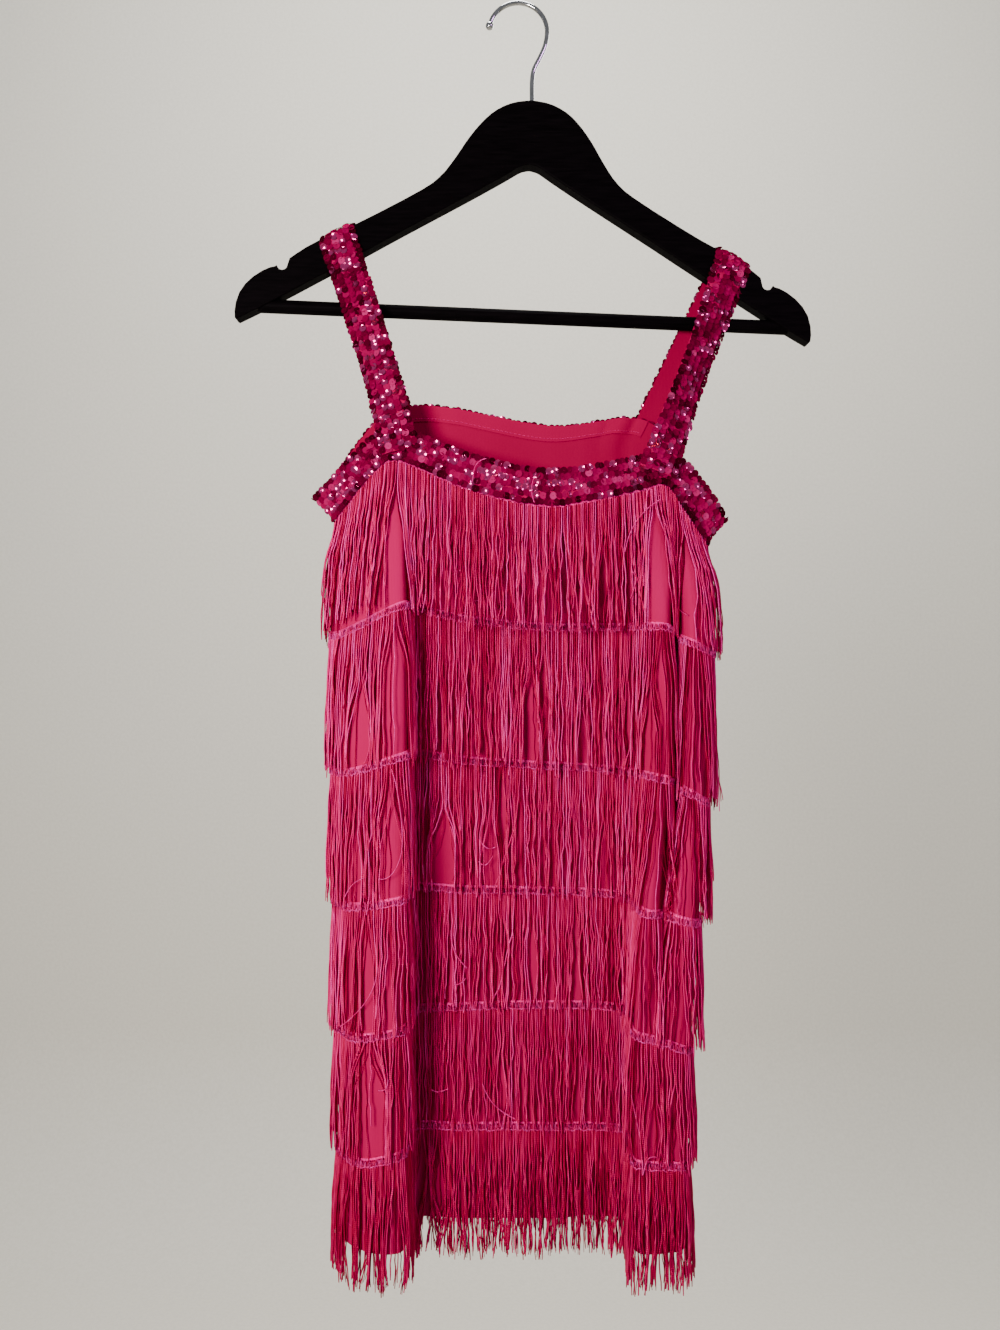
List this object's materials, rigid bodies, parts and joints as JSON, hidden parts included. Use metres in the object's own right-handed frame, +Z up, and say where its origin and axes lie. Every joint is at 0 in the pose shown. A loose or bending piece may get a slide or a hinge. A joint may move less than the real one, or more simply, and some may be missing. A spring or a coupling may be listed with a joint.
{
  "type": "flapper dress on hanger",
  "caption": "Sleeveless stage dress with tiers of hanging fringe and sequin bands at the neck, armholes and shoulder straps, on a flat wooden hanger with a wire hook",
  "frame": {"origin": "inner top of the hanger's hook, where it rests on its nail or rail", "axes": "+Z up, +X to the right as seen from the front of the dress, -Y towards the viewer of the front"},
  "size_m": [0.4452, 0.0916, 0.9725],
  "materials": {
    "cloth": "plain smooth bright pink stretch knit, slightly sheened",
    "fringe_yarn": "shiny rayon chainette yarn in bright pink, on a narrow heading tape",
    "sequin_trim": "overlapping dark magenta cup sequins with bright glints",
    "hanger_black": "matte black painted wood",
    "hook_chrome": "polished chromed wire"
  },
  "bodies": {
    "root": {"front_panel": "cloth", "back_panel": "cloth", "back_neck_facing": "cloth", "front_neck_band": "sequin_trim", "back_neck_band": "sequin_trim", "left_underarm_band": "sequin_trim", "right_underarm_band": "sequin_trim", "left_strap": "sequin_trim", "right_strap": "sequin_trim", "fringe_tier_1": "fringe_yarn", "fringe_tier_2": "fringe_yarn", "fringe_tier_3": "fringe_yarn", "fringe_tier_4": "fringe_yarn", "fringe_tier_5": "fringe_yarn", "fringe_tier_6": "fringe_yarn", "hanger_body": "hanger_black", "hanger_bar": "hanger_black", "hanger_hook": "hook_chrome"}
  },
  "joints": []
}
